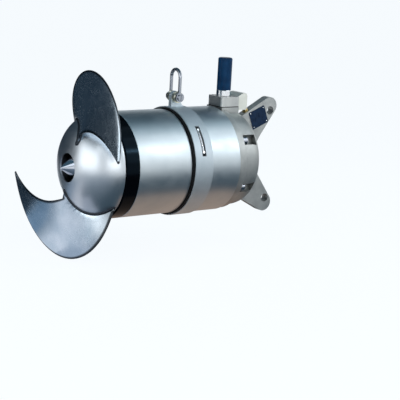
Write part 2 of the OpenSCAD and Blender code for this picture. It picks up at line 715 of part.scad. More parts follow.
// Each lead runs back from its stud and bends up to the cable's end
module cable_leads() {
    straight_r = lead_r - 0.1;
    into = 0.4;
    x0 = x_board + board_t + stud_len;
    xb = x_cable - lead_bend;
    zb = stud_z + lead_bend;
    color(copper) at_station() for (i = [-1:1]) translate([0, i * stud_pitch, 0]) {
        translate([x0, 0, stud_z]) rotate([0, 90, 0]) cylinder(r = straight_r, h = xb - x0 + into);
        translate([xb, 0, zb]) rotate([90, 0, 0]) rotate([0, 0, -90]) rotate_extrude(angle = 90)
            translate([lead_bend, 0]) circle(lead_r);
        translate([x_cable, 0, zb - into]) cylinder(r = straight_r, h = cable_z0 - zb + into);
    }
}
cover_spigot = 8;
x_rear_o = x_rear1 - 6;
module rear_cover() {
    r = neck_r - slip;
    x_sh = x_face - shoulder_len;
    x_in = x_face - cover_wall;
    x_spigot = x_rear1 - cover_spigot;
    n = 10;
    c = 1.5;
    corner = 8;
    pad_z0 = cover_bore + corner;
    core_z0 = cover_bore - cover_wall;
    color(cast) difference() {
        union() {
            turned(concat([[cover_bore, x_spigot], [r, x_spigot], [r, x_rear1], [housing_r - 1, x_rear1],
                [housing_r, x_rear1 + 1], [housing_r, x_flange1 - c], [housing_r - c, x_flange1],
                [cover_r, x_flange1]],
                [for (i = [0:n]) let (a = 90 * i / n)
                    [face_r + face_step * cos(a), x_sh + shoulder_len * sin(a)]],
                [[0, x_face], [0, x_in], [cover_bore - corner, x_in], [cover_bore, x_in - corner]]));
            at_station() translate([x_entry0, -entry_w / 2 - 1, pad_z0])
                cube([entry_len, entry_w + 2, pad_z - pad_z0]);
        }
        o_groove(r, x_rear_o);
        cover_bolt_holes(cover_bolt_d / 2 + 0.4, x_rear1 - 1, x_flange1 + 1);
        cover_bolt_at() translate([0, 0, x_flange1])
            cylinder(r = pocket_r, h = cover_len - shoulder_len * 0.4);
        at_station() translate([x_cable, 0, core_z0]) cylinder(r = core_bore, h = pad_z - core_z0 + 1);
        entry_screw_at() cylinder(r = entry_screw_d / 2 + slip, h = entry_screw_in + 1);
    }
}
module rear_o_ring() { color(black) o_ring(neck_r - slip, x_rear_o); }
module rear_cover_bolts() {
    color(steel) cover_bolt_at() translate([0, 0, x_flange1]) mirror([0, 0, 1])
        socket_screw(cover_bolt_d, flange_t + neck_len - 5, cover_bolt_d * 0.8, cover_bolt_d);
}

// Plan of the bracket's root with its two fillets, as [station, y]
module bracket_root() {
    n = 8;
    bite = 0.1;
    side = arc([x_face + root_fillet, plate_t / 2 + root_fillet - bite], root_fillet, 180, 270, n);
    polygon(concat([for (p = side) [p[0], -p[1]]], [for (i = [n:-1:0]) side[i]]));
}
module bracket() {
    color(cast) difference() {
        union() {
            at_station() translate([0, plate_t / 2, 0]) rotate([90, 0, 0]) linear_extrude(plate_t)
                polygon(concat([[x_face, -arm_root_z]],
                    [for (i = [arm_n:-1:0]) [arm_end[i][0], -arm_end[i][1]]],
                    arc([throat_c, 0], throat_r, 270 - arm_back, 90 + arm_back, arm_n),
                    arm_end, [[x_face, arm_root_z]]));
            at_station() translate([0, 0, -arm_root_z + 2]) linear_extrude(2 * arm_root_z - 4) bracket_root();
        }
        at_station() for (s = [-1, 1]) translate([x_hole, plate_t, s * hole_z]) rotate([90, 0, 0])
            cylinder(r = hole_d / 2, h = 2 * plate_t);
        earth_at_edge() translate([0, 0, -earth_in]) cylinder(r = earth_d / 2 + slip, h = earth_in + 1);
    }
}
earth_in = 12;
// Places local Z square to the upper edge of the upper arm
module earth_at_edge() {
    at_station() translate([x_face + earth_at, 0, arm_root_z + earth_at * tan(arm_rise)])
        rotate([0, -arm_rise, 0]) children();
}
module earth_screw() {
    washer_t = 1.4;
    color(brass) earth_at_edge() {
        translate([0, 0, -earth_in + 0.5]) cylinder(r = earth_d / 2, h = earth_in);
        cylinder(r = earth_d * 1.1, h = washer_t);
        translate([0, 0, washer_t]) cylinder(r = earth_d * 0.95, h = earth_d * 0.7, $fn = 6);
    }
}

entry_screw_d = 6;
entry_screw_in = 12;
entry_screw_hole = entry_screw_d / 2 + 0.3;
entry_head_r = entry_screw_d * 0.85;
entry_shank = entry_screw_in + entry_gasket_t + entry_h - entry_screw_d - 0.2;
entry_reach = entry_shank + 2 * entry_screw_d;
entry_inset = 7.5;
entry_corner = 6;
// The four screw axes of the entry block, with local Z up from the bottom of the tapped holes
module entry_screw_at() {
    at_station() for (sx = [-1, 1], sy = [-1, 1])
        translate([x_cable + sx * (entry_len / 2 - entry_inset), sy * (entry_w / 2 - entry_inset),
            pad_z - entry_screw_in]) children();
}
// Plan of the entry block, rounded at its two front corners
module entry_plan() {
    y = entry_w / 2 - entry_corner;
    c = x_entry0 + entry_corner;
    polygon(concat(arc([c, y], entry_corner, 90, 180, 8), arc([c, -y], entry_corner, 180, 270, 8),
        [[x_entry1, -entry_w / 2], [x_entry1, entry_w / 2]]));
}
module cable_entry() {
    color([0.63, 0.64, 0.62]) difference() {
        at_station() translate([0, 0, entry_z0]) linear_extrude(entry_h) entry_plan();
        at_station() translate([x_cable, 0, entry_z0 - 1]) cylinder(r = core_bore, h = entry_h + 2);
        at_station() translate([x_cable, 0, entry_z0 + 1]) cylinder(r = sleeve_thread_r + slip, h = entry_h);
        entry_screw_at() cylinder(r = entry_screw_hole, h = entry_reach);
        entry_screw_at() translate([0, 0, entry_shank])
            cylinder(r = entry_head_r + 0.2, h = 2 * entry_screw_d);
    }
}
module entry_gasket() {
    color(black) difference() {
        at_station() translate([0, 0, pad_z]) linear_extrude(entry_gasket_t) entry_plan();
        at_station() translate([x_cable, 0, pad_z - 1]) cylinder(r = core_bore, h = entry_gasket_t + 2);
        entry_screw_at() cylinder(r = entry_screw_hole, h = entry_reach);
    }
}
module entry_screws() {
    color(steel) entry_screw_at() translate([0, 0, entry_shank]) mirror([0, 0, 1])
        socket_screw(entry_screw_d, entry_shank - 0.5, entry_head_r, entry_screw_d);
}
module entry_cap() {
    z0 = cover_r + 0.5;
    z1 = entry_z1 + cap_rise;
    r = 6;
    xr = cap_len - r;
    crown = 0.6;
    color([0.86, 0.85, 0.78]) at_station() translate([x_entry1, cap_w / 2, 0]) rotate([90, 0, 0])
        linear_extrude(cap_w) union() {
            polygon([[0, z0], [cap_len - 3, z0], [cap_len, z0 + 4], [cap_len, z1 - r], [xr, z1],
                [xr - r, z1 - crown], [0, entry_z1]]);
            translate([xr, z1 - r]) circle(r);
        }
}
// Revolved profile of [radius, height] points about the cable's axis
module upright(p) { at_station() translate([x_cable, 0, 0]) rotate_extrude() polygon(p); }
module gland_sleeve() {
    z0 = entry_z1 - sleeve_in;
    z1 = entry_z1 + sleeve_h;
    r = sleeve_d / 2;
    c = 0.5;
    color(bright) upright([[core_bore, z0], [sleeve_thread_r, z0], [sleeve_thread_r, entry_z1],
        [r - c, entry_z1], [r, entry_z1 + c], [r, z1 - 2 * c], [r - c, z1], [core_bore, z1]]);
}
module gland_seal() {
    r0 = core_d / 2 + slip;
    z0 = entry_z0 + 1;
    z1 = entry_z1 - sleeve_in;
    color(black) upright([[r0, z0], [sleeve_thread_r, z0], [sleeve_thread_r, z1], [r0, z1]]);
}
module cable() {
    z1 = entry_z1 + sleeve_h;
    z2 = z1 + cable_len;
    r = cable_d / 2;
    e = 3;
    color([0.06, 0.09, 0.15]) upright(concat(
        [[0, cable_z0], [core_d / 2, cable_z0], [core_d / 2, z1], [r, z1]],
        arc([r - e, z2 - e], e, 0, 90, 6), [[0, z2]]));
}

// Shackle: its own X runs along the pin, away from the slotted head, with the pin axis at the origin
module at_pin() { translate([x_lug - x_hole, 0, pin_z]) rotate([0, 0, 90]) children(); }
module shackle_bow() {
    top = bow_h - rod_r - leg_x;
    color(bright) at_pin() difference() {
        union() {
            translate([0, 0, top]) rotate([90, 0, 0])
                rotate_extrude(angle = 180) translate([leg_x, 0]) circle(rod_r);
            for (s = [-1, 1]) {
                translate([s * leg_x, 0, 0]) cylinder(r = rod_r - 0.15, h = top + 0.5);
                translate([s * leg_x - rod_r, 0, 0]) rotate([0, 90, 0]) cylinder(r = eye_r, h = rod_d);
            }
        }
        translate([-eye_out - 1, 0, 0]) rotate([0, 90, 0]) cylinder(r = pin_r + slip, h = 2 * eye_out + 2);
    }
}
module shackle_pin() {
    len = 2 * eye_out + nut_t + 1.2;
    c = 0.6;
    cut_w = 1.6;
    cut_deep = head_t * 0.5;
    color(steel) at_pin() difference() {
        translate([-eye_out, 0, 0]) rotate([0, 90, 0]) rotate_extrude()
            polygon([[0, -head_t], [head_r - c, -head_t], [head_r, -head_t + c], [head_r, 0], [pin_r, 0],
                [pin_r, len - c], [pin_r - c, len], [0, len]]);
        translate([-eye_out - head_t - 1, -cut_w / 2, -head_r - 1])
            cube([cut_deep + 1, cut_w, 2 * head_r + 2]);
    }
}
module shackle_washer() {
    color(brass) at_pin() for (s = [0, 180]) rotate([0, 0, s]) translate([washer_in, 0, 0])
        rotate([0, 90, 0]) difference() {
            cylinder(r = washer_r, h = eye_in - slip - washer_in);
            translate([0, 0, -1]) cylinder(r = pin_r + slip, h = eye_in);
        }
}
// Turned envelope that bevels the nut's corners at both ends
module nut_bevel() {
    r = nut_af * 0.475;
    rise = 0.9;
    wide = 1.6;
    rotate_extrude() polygon([[0, 0], [r, 0], [r + wide, rise], [r + wide, nut_t - rise], [r, nut_t],
        [0, nut_t]]);
}
module shackle_nut() {
    color(bright) at_pin() translate([eye_out, 0, 0]) rotate([0, 90, 0]) difference() {
        intersection() {
            cylinder(r = nut_af / 2 / cos(30), h = nut_t, $fn = 6);
            nut_bevel();
        }
        translate([0, 0, -1]) cylinder(r = pin_r + slip, h = nut_t + 2);
    }
}

nose_cone();
propeller_hub();
blade_a();
blade_b();
drive_key();
shaft();
rotor_core();
rotor_rings();
front_bearing_inner();
rear_bearing_inner();
shaft_clip();
outer_seal_ring();
inner_seal_ring();
front_ball_set();
rear_ball_set();
front_cover();
front_cover_screws();
outer_seal_seat();
front_o_ring();
motor_housing();
bearing_carrier();
inner_seal_seat();
front_bearing_outer();
stator_core();
stator_winding();
joint_gasket();
lifting_ring();
locking_wire();
rear_housing();
rear_bearing_carrier();
rear_bearing_outer();
terminal_board();
terminal_studs();
cable_leads();
rear_o_ring();
rear_cover();
rear_cover_bolts();
bracket();
cable_entry();
entry_gasket();
entry_screws();
entry_cap();
gland_sleeve();
gland_seal();
cable();
earth_screw();
shackle_bow();
shackle_pin();
shackle_washer();
shackle_nut();
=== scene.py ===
# %% [markdown]
# # Dressing a submersible mixer
# A submersible mixer hangs on a guide rail in a tank and stirs the water with an open propeller. The solids
# come from the CAD frame and stay where they are. This lesson gives every solid its finish, remakes the few
# shapes that need a finer surface, adds the small trim, and sets up the camera and the studio.

# %% Load the frame
import math

import bmesh
import bpy
from mathutils import Matrix, Quaternion, Vector
from mathutils.bvhtree import BVHTree


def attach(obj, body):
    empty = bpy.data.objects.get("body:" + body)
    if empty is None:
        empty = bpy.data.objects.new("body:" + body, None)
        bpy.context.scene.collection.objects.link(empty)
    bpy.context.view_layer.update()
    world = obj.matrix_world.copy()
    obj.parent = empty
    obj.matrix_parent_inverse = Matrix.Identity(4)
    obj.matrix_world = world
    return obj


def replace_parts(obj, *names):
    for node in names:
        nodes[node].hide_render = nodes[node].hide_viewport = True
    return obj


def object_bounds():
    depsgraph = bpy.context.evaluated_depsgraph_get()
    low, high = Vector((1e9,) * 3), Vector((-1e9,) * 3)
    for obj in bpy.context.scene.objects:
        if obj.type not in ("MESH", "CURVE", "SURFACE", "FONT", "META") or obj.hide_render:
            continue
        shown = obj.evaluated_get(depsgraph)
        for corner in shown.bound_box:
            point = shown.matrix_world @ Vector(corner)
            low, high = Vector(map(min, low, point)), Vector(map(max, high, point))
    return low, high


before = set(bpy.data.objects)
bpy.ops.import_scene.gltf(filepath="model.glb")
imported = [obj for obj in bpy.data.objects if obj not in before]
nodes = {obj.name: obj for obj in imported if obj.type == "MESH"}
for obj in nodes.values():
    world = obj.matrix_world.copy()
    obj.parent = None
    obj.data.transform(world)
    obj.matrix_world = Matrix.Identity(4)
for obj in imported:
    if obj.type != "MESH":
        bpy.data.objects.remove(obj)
cad_low, cad_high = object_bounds()
print("frame:", len(nodes), "nodes, size", [round(v, 3) for v in cad_high - cad_low])

# %% [markdown]
# ## The camera
# The picture was taken with a long lens from the propeller's side, a little above the shaft. A camera can be
# aimed with a Track To constraint, but a fixed place and three angles say the same thing in numbers: the
# azimuth and the elevation of the line of sight, and a small roll, because the picture leans to the right.

# %% Place the camera
AZIMUTH = math.radians(-36.3)
ELEVATION = math.radians(11.96)
ROLL = math.radians(3.14)
CAMERA_PLACE = (-1.533, -1.874, 0.408)
LENS_MM = 108
SENSOR_MM = 36


def towards(azimuth, elevation):
    """Unit vector from the object: azimuth 0 is the -Y side and 90 degrees is +X."""
    level = math.cos(elevation)
    return Vector((math.sin(azimuth) * level, -math.cos(azimuth) * level, math.sin(elevation)))


camera = bpy.data.objects.new("camera", bpy.data.cameras.new("camera"))
camera.data.lens = LENS_MM
camera.data.sensor_width = SENSOR_MM
camera.location = CAMERA_PLACE
camera.rotation_mode = "QUATERNION"
aim = (-towards(AZIMUTH, ELEVATION)).to_track_quat("-Z", "Y")
camera.rotation_quaternion = aim @ Quaternion((0, 0, 1), ROLL)
bpy.context.scene.collection.objects.link(camera)
bpy.context.scene.camera = camera
bpy.context.scene.view_settings.view_transform = "Standard"
print("camera at", CAMERA_PLACE)

# %% [markdown]
# ## Node helpers
# A finish is a small graph of nodes. The same few moves come back in all of them: a noise on Object
# coordinates, a colour ramp that turns it into two shades, a range that turns it into roughness, and a bump.
# Helpers for these keep each finish short enough to read.

# %% Node helpers
NOISE_LOW = 0.3
NOISE_HIGH = 0.7


def new_finish(name, metallic=0.0):
    """A fresh material with its node tree and its shader."""
    material = bpy.data.materials.new(name)
    material.use_nodes = True
    shader = material.node_tree.nodes["Principled BSDF"]
    shader.inputs["Metallic"].default_value = metallic
    return material, material.node_tree, shader


def noise_of(tree, scale, detail, stretch=(1, 1, 1)):
    """Noise on Object coordinates; scale is in features per metre, and stretch weighs the three axes."""
    place = tree.nodes.new("ShaderNodeTexCoord")
    mapping = tree.nodes.new("ShaderNodeMapping")
    mapping.inputs["Scale"].default_value = stretch
    noise = tree.nodes.new("ShaderNodeTexNoise")
    noise.inputs["Scale"].default_value = scale
    noise.inputs["Detail"].default_value = detail
    tree.links.new(place.outputs["Object"], mapping.inputs["Vector"])
    tree.links.new(mapping.outputs["Vector"], noise.inputs["Vector"])
    return noise.outputs["Fac"]


def shades(tree, source, dark, light, low=0.35, high=0.65):
    """Two shades of a colour, dark where the source is low."""
    ramp = tree.nodes.new("ShaderNodeValToRGB")
    ramp.color_ramp.elements[0].position = low
    ramp.color_ramp.elements[0].color = (*dark, 1)
    ramp.color_ramp.elements[1].position = high
    ramp.color_ramp.elements[1].color = (*light, 1)
    tree.links.new(source, ramp.inputs["Fac"])
    return ramp.outputs["Color"]


def ranged(tree, source, start, end, low=0.0, high=1.0):
    """A number that runs from low to high while the source runs from start to end."""
    span = tree.nodes.new("ShaderNodeMapRange")
    span.inputs["From Min"].default_value = start
    span.inputs["From Max"].default_value = end
    span.inputs["To Min"].default_value = low
    span.inputs["To Max"].default_value = high
    tree.links.new(source, span.inputs["Value"])
    return span.outputs["Result"]


def spread(tree, noise, low, high):
    """A number that runs from low to high with a noise."""
    return ranged(tree, noise, NOISE_LOW, NOISE_HIGH, low, high)


def roughen(tree, shader, source, strength, depth):
    """Bump of a given depth in metres."""
    bump = tree.nodes.new("ShaderNodeBump")
    bump.inputs["Strength"].default_value = strength
    bump.inputs["Distance"].default_value = depth
    tree.links.new(source, bump.inputs["Height"])
    tree.links.new(bump.outputs["Normal"], shader.inputs["Normal"])


print("node helpers ready")

# %% [markdown]
# ## Local shade
# Metal looks darker where less light gets in: in a recess, in the inner corners of a casting, along the rim
# of a blade. These helpers paint that shade into the colour. It could be painted on an image, but here it is
# worked out from the place, from the corners, or from an attribute of the piece, so it stays put in every
# view.

# %% Shade helpers
RIM_FADE = (0.5, 0.75)
CORNER_FADE = (0.2, 0.85)
CORNER_SAMPLES = 8
ACROSS_SHAFT = (0, 1, 1)


def times(tree, colour, share):
    """A colour multiplied by a share."""
    product = tree.nodes.new("ShaderNodeVectorMath")
    product.operation = "MULTIPLY"
    tree.links.new(colour, product.inputs[0])
    tree.links.new(share, product.inputs[1])
    return product.outputs["Vector"]


def along_axis(tree, axis):
    """The Object coordinate along one axis, in metres."""
    place = tree.nodes.new("ShaderNodeTexCoord")
    split = tree.nodes.new("ShaderNodeSeparateXYZ")
    tree.links.new(place.outputs["Object"], split.inputs["Vector"])
    return split.outputs[axis]


def paint_rim_shade(tree, colour, share):
    """Paints shade into a colour: darkens it to a share of it along the rim, which the piece marks with an
    attribute.
    """
    rim = tree.nodes.new("ShaderNodeAttribute")
    rim.attribute_name = "rim"
    return times(tree, colour, ranged(tree, rim.outputs["Fac"], *RIM_FADE, 1.0, share))


def paint_corner_shade(tree, colour, reach, share):
    """Paints shade into a colour: darkens it to a share of it in holes and inner corners; reach is in metres.
    """
    corners = tree.nodes.new("ShaderNodeAmbientOcclusion")
    corners.samples = CORNER_SAMPLES
    corners.inputs["Distance"].default_value = reach
    return times(tree, colour, ranged(tree, corners.outputs["AO"], *CORNER_FADE, share))


def paint_shade_inside(tree, colour, inner, outer, share):
    """Paints shade into a colour towards the shaft: from a share of it at radius inner to all of it at outer.
    """
    place = tree.nodes.new("ShaderNodeTexCoord")
    flat = tree.nodes.new("ShaderNodeVectorMath")
    flat.operation = "MULTIPLY"
    flat.inputs[1].default_value = ACROSS_SHAFT
    radius = tree.nodes.new("ShaderNodeVectorMath")
    radius.operation = "LENGTH"
    tree.links.new(place.outputs["Object"], flat.inputs[0])
    tree.links.new(flat.outputs["Vector"], radius.inputs[0])
    return times(tree, colour, ranged(tree, radius.outputs["Value"], inner, outer, share))


def paint_shade_along_x(tree, colour, stops):
    """Paints shade into a colour: multiplies it by shares set along the shaft; stops are pairs of X in metres
    and share.
    """
    first, last = stops[0][0], stops[-1][0]
    ramp = tree.nodes.new("ShaderNodeValToRGB")
    for x, _ in stops[1:-1]:
        ramp.color_ramp.elements.new((x - first) / (last - first))
    for stop, (_, share) in zip(ramp.color_ramp.elements, stops):
        stop.color = (share, share, share, 1)
    tree.links.new(ranged(tree, along_axis(tree, "X"), first, last), ramp.inputs["Fac"])
    return times(tree, colour, ramp.outputs["Color"])


print("shade helpers ready")

# %% [markdown]
# ## Blasted stainless steel
# The shells are blasted with glass beads, which leaves a soft satin skin without direction. One roughness for
# the whole shell would look like plastic. On the real skin the colour hardly changes, but faint clouds of
# roughness do, so two noises of different size drive the shade and the roughness, and a very fine one gives
# the grain. Shade is painted into the colour as well: the hub is darker in its recess, the blades are darker
# at their front and rear ends and along their rims, and the weld beads are painted nearly black as the shade
# along each blade's foot. The blades take a lighter, bluer copy of the hub's steel, which is painted light.

# %% Blasted steel
# Painted shade: the hub's colour darkens to near black inside its nose recess.
NOSE_RECESS_SHADE = {"inner": 0.0264, "outer": 0.0269, "share": 0.04}
# Painted shade: the blades' colour darkens towards their front and rear ends along the shaft.
BLADE_END_SHADE = [(-0.470, 0.6), (-0.450, 1.0), (-0.428, 1.0), (-0.410, 0.3)]
# Painted shade: the blades' colour darkens along their rims.
BLADE_RIM_SHADE = 0.1
ROUGH_CLOUDS = 3


def blasted_steel(name, dark, light, rough, strength=0.05, cloud=14, recess=None, stops=None, rim=None):
    """Satin steel without direction; rough is the lowest and the highest roughness; recess, stops and rim
    paint shade into its colour.
    """
    material, tree, shader = new_finish(name, metallic=1.0)
    colour = shades(tree, noise_of(tree, cloud, detail=4), dark, light)
    if recess:
        colour = paint_shade_inside(tree, colour, **recess)
    if stops:
        colour = paint_shade_along_x(tree, colour, stops)
    if rim:
        colour = paint_rim_shade(tree, colour, rim)
    clouds = noise_of(tree, cloud * ROUGH_CLOUDS, detail=5)
    tree.links.new(colour, shader.inputs["Base Color"])
    tree.links.new(spread(tree, clouds, *rough), shader.inputs["Roughness"])
    roughen(tree, shader, noise_of(tree, scale=900, detail=2), strength, depth=0.00004)
    return material


shell_finish = blasted_steel("shell_steel", (0.54, 0.60, 0.635), (0.61, 0.665, 0.695), (0.36, 0.44))
hub_finish = blasted_steel("hub_steel", (0.60, 0.64, 0.68), (0.67, 0.705, 0.74), (0.31, 0.36),
                           strength=0.02, recess=NOSE_RECESS_SHADE)
# The blades take a lighter, bluer copy of the hub's steel: painted light.
blade_finish = blasted_steel("blade_steel", (0.60, 0.71, 0.80), (0.76, 0.85, 0.93), (0.22, 0.28),
                             strength=0.03, cloud=26, stops=BLADE_END_SHADE, rim=BLADE_RIM_SHADE)
# The rim faces are painted nearly black: painted shade along the blades' edges.
rim_shade_finish = blasted_steel("blade_rim_shade", (0.07, 0.08, 0.095), (0.10, 0.115, 0.13), (0.40, 0.50))
# The beads are painted nearly black: painted shade along the foot where each blade meets the hub.
weld_finish = blasted_steel("weld_steel", (0.030, 0.036, 0.046), (0.060, 0.068, 0.080), (0.45, 0.55))
print("blasted finishes ready")

# %% [markdown]
# ## Turned, cast and polished steel
# The lifting ring and the shaft come off a lathe, the rear cover, the bracket and the cable entry are blasted
# castings, and the small fittings are polished. An anisotropic shader would stretch the highlights of turned
# steel, but it needs tangents. Here a noise that is drawn out along two axes makes the fine rings instead.
# The castings get a coarser grain and painted shade in their inner corners, the lifting ring gets painted
# shade in the slot of its locking wire, and polished steel shows faint rubbing marks.

# %% Turned, cast and polished steel
# Painted shade: the lifting ring's colour darkens in the slot of its locking wire.
WIRE_SLOT_SHADE = {"inner": 0.0985, "outer": 0.1046, "share": 0.05}
LATHE_LINES = 1400
LATHE_STRETCH = (1, 0.02, 0.02)
RUB_STRETCH = (1, 1, 0.15)


def turned_steel(name, dark, light, rough, recess=None):
    """Steel off the lathe: fine rings about the shaft, because the noise changes fast along X only; recess
    paints shade towards the shaft.
    """
    material, tree, shader = new_finish(name, metallic=1.0)
    rings = noise_of(tree, LATHE_LINES, detail=3, stretch=LATHE_STRETCH)
    colour = shades(tree, noise_of(tree, scale=20, detail=4), dark, light)
    if recess:
        colour = paint_shade_inside(tree, colour, **recess)
    tree.links.new(colour, shader.inputs["Base Color"])
    tree.links.new(spread(tree, rings, *rough), shader.inputs["Roughness"])
    roughen(tree, shader, rings, strength=0.15, depth=0.00003)
    return material


def cast_steel(name, dark, light, rough):
    """Blasted casting: a grain of about a millimetre over slow clouds, with painted shade in the inner
    corners.
    """
    material, tree, shader = new_finish(name, metallic=1.0)
    grain = noise_of(tree, scale=700, detail=5)
    colour = shades(tree, noise_of(tree, scale=35, detail=6), dark, light)
    # Painted shade: ambient occlusion darkens the colour in holes, pockets and inner corners.
    colour = paint_corner_shade(tree, colour, reach=0.014, share=0.12)
    tree.links.new(colour, shader.inputs["Base Color"])
    tree.links.new(spread(tree, grain, *rough), shader.inputs["Roughness"])
    roughen(tree, shader, grain, strength=0.35, depth=0.00015)
    return material


def polished_steel(name, tint, rough):
    """Bright steel with faint rubbing marks."""
    material, tree, shader = new_finish(name, metallic=1.0)
    marks = noise_of(tree, scale=260, detail=6, stretch=RUB_STRETCH)
    shader.inputs["Base Color"].default_value = (*tint, 1)
    tree.links.new(spread(tree, marks, *rough), shader.inputs["Roughness"])
    roughen(tree, shader, marks, strength=0.08, depth=0.00002)
    return material


ring_finish = turned_steel("ring_steel", (0.57, 0.64, 0.68), (0.65, 0.71, 0.75), (0.55, 0.66),
                           recess=WIRE_SLOT_SHADE)
machined_finish = turned_steel("machined_steel", (0.56, 0.56, 0.57), (0.64, 0.64, 0.65), (0.22, 0.34))
cast_finish = cast_steel("cast_cover_steel", (0.42, 0.435, 0.43), (0.55, 0.56, 0.545), (0.48, 0.62))
entry_finish = cast_steel("entry_steel", (0.52, 0.53, 0.52), (0.63, 0.64, 0.62), (0.34, 0.46))
cap_finish = cast_steel("cap_metal", (0.82, 0.83, 0.76), (0.92, 0.93, 0.86), (0.42, 0.55))
bright_finish = polished_steel("bright_steel", (0.80, 0.81, 0.83), (0.10, 0.18))
# A darker copy of the bright steel: painted shade on the shackle and the cover bolts.
shackle_finish = polished_steel("shackle_steel", (0.36, 0.38, 0.42), (0.14, 0.22))
cone_finish = polished_steel("cone_steel", (0.58, 0.61, 0.68), (0.08, 0.14))
bolt_finish = polished_steel("bolt_steel", (0.70, 0.71, 0.72), (0.18, 0.28))
print("turned, cast and polished finishes ready")

# %% [markdown]
# ## Coatings, rubber and brass
# The front cover is the one piece with a black coat. The coat is smooth and deep, so it only shows the edge
# of a softbox. The gaskets are dull rubber, the cable has a dark blue sheath with a slight sheen, and the
# earth screw, the terminal studs and the shackle's washers are brass. A flat colour would do from afar, but a
# little noise in the roughness and a fine bump keep them from looking like plastic in a close view.

# %% Coatings, rubber and brass
COAT_BLACK = (0.001, 0.001, 0.0015)
COAT_SHINE = 0.10
# A blue tint on the coat's reflections: painted blue highlight.
COAT_BLUE_HIGHLIGHT = (0.3, 0.65, 1.0)


def black_coat(name):
    """Deep gloss black with the faint waviness of a sprayed coat."""
    material, tree, shader = new_finish(name)
    waves = noise_of(tree, scale=240, detail=2)
    shader.inputs["Base Color"].default_value = (*COAT_BLACK, 1)
    shader.inputs["Specular IOR Level"].default_value = COAT_SHINE
    shader.inputs["Specular Tint"].default_value = (*COAT_BLUE_HIGHLIGHT, 1)
    clouds = noise_of(tree, scale=30, detail=4)
    tree.links.new(spread(tree, clouds, low=0.14, high=0.19), shader.inputs["Roughness"])
    roughen(tree, shader, waves, strength=0.05, depth=0.00005)
    return material


def rubber(name, dark, light, rough, shine=0.5):
    """Moulded rubber: dull, with a fine skin; shine is the strength of its reflections."""
    material, tree, shader = new_finish(name)
    shader.inputs["Specular IOR Level"].default_value = shine
    skin_noise = noise_of(tree, scale=900, detail=4)
    colour = shades(tree, noise_of(tree, scale=60, detail=4), dark, light)
    tree.links.new(colour, shader.inputs["Base Color"])
    tree.links.new(spread(tree, skin_noise, *rough), shader.inputs["Roughness"])
    roughen(tree, shader, skin_noise, strength=0.25, depth=0.0001)
    return material


def dulled_brass(name, dark, light):
    """Brass that has begun to dull: rougher where it is darker."""
    material, tree, shader = new_finish(name, metallic=1.0)
    tarnish = noise_of(tree, scale=160, detail=5)
    tree.links.new(shades(tree, tarnish, dark, light), shader.inputs["Base Color"])
    tree.links.new(spread(tree, tarnish, low=0.36, high=0.22), shader.inputs["Roughness"])
    roughen(tree, shader, noise_of(tree, scale=1200, detail=3), strength=0.15, depth=0.00005)
    return material


black_finish = black_coat("front_cover_black")
rubber_finish = rubber("gasket_rubber", (0.003, 0.003, 0.004), (0.006, 0.006, 0.007), (0.55, 0.75),
                       shine=0.15)
cable_finish = rubber("cable_sheath", (0.001, 0.024, 0.072), (0.003, 0.040, 0.11), (0.28, 0.40), shine=0.1)
brass_finish = dulled_brass("yellow_brass", (0.50, 0.38, 0.17), (0.78, 0.64, 0.36))
washer_finish = dulled_brass("pale_brass", (0.60, 0.57, 0.42), (0.82, 0.80, 0.66))
print("coatings ready")

# %% [markdown]
# ## What is inside
# The closed housing hides the motor, but an owner may open the model, so the inner pieces get plain finishes
# of their own: dark laminations in thin bands along the shaft, varnished copper, and a resin terminal board.
# The sheets and turns could be modelled one by one, but a wave texture draws them well enough in there.

# %% Inner finishes
BAND_WAVER = 0.4


def banded(name, dark, light, bands, rough):
    """Thin bands along the shaft, as a stack of sheets or turns of wire has."""
    material, tree, shader = new_finish(name, metallic=1.0)
    place = tree.nodes.new("ShaderNodeTexCoord")
    wave = tree.nodes.new("ShaderNodeTexWave")
    wave.bands_direction = "X"
    wave.inputs["Scale"].default_value = bands
    wave.inputs["Distortion"].default_value = BAND_WAVER
    tree.links.new(place.outputs["Object"], wave.inputs["Vector"])
    tree.links.new(shades(tree, wave.outputs["Fac"], dark, light), shader.inputs["Base Color"])
    clouds = noise_of(tree, scale=40, detail=3)
    tree.links.new(spread(tree, clouds, *rough), shader.inputs["Roughness"])
    roughen(tree, shader, wave.outputs["Fac"], strength=0.3, depth=0.0002)
    return material


core_finish = banded("core_sheets", (0.10, 0.10, 0.11), (0.26, 0.27, 0.29), bands=300, rough=(0.40, 0.55))
copper_finish = banded("winding_copper", (0.30, 0.12, 0.05), (0.62, 0.32, 0.14), bands=160,
                       rough=(0.28, 0.42))
board_finish = rubber("board_resin", (0.48, 0.41, 0.29), (0.58, 0.50, 0.37), (0.45, 0.60))
print("inner finishes ready")

# %% [markdown]
# ## Give every solid its finish
# Each CAD node is one piece of the real mixer, or a set of like ones, so one table from finish to node names
# dresses them all. A node that is missing here would keep a plain finish, so the cell checks that none is
# left over.

